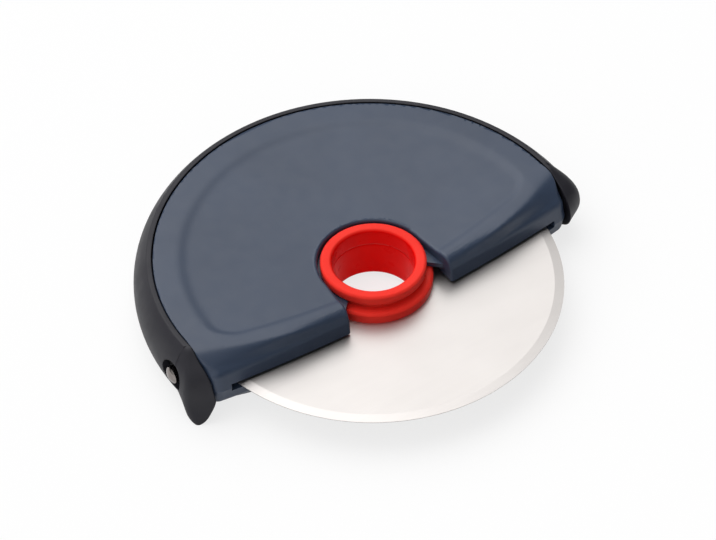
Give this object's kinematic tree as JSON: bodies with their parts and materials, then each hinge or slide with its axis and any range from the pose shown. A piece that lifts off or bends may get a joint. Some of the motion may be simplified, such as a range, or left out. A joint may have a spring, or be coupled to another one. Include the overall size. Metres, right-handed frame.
{
  "type": "pizza cutter",
  "caption": "Disc pizza cutter: ring-hub blade between clamped shells, with a C grip that swings over to guard the exposed edge.",
  "frame": {"origin": "middle of the wheel, where its axis meets the middle plane of the blade", "axes": "+Z along the wheel's axis and up through the upper shell; +X along the front edge of the shells; the mouth and the exposed blade face -Y and the grip is at +Y"},
  "size_m": [0.1252, 0.1139, 0.019],
  "materials": {
    "blade_steel": "finely brushed",
    "hub_red": "satin gloss",
    "shell_blue": "fine matte",
    "carrier_dark": "matte",
    "grip_charcoal": "soft matte",
    "pin_steel": "polished"
  },
  "bodies": {
    "housing": {"upper_shell": "shell_blue", "lower_shell": "shell_blue", "pivot_pin_left": "pin_steel", "pivot_pin_right": "pin_steel"},
    "wheel": {"cutting_blade": "blade_steel", "hub_upper": "hub_red", "hub_lower": "hub_red"},
    "grip": {"grip_carrier": "carrier_dark", "grip_skin": "grip_charcoal"}
  },
  "joints": [
    {"name": "wheel_spin", "type": "hinge", "parent": "housing", "child": "wheel", "pos_m": [0, 0, 0], "axis": [0, 0, 1], "continuous": true},
    {"name": "grip_swing", "type": "hinge", "parent": "housing", "child": "grip", "pos_m": [0, 0.0022, 0], "axis": [1, 0, 0], "range_deg": [0, 180]}
  ]
}
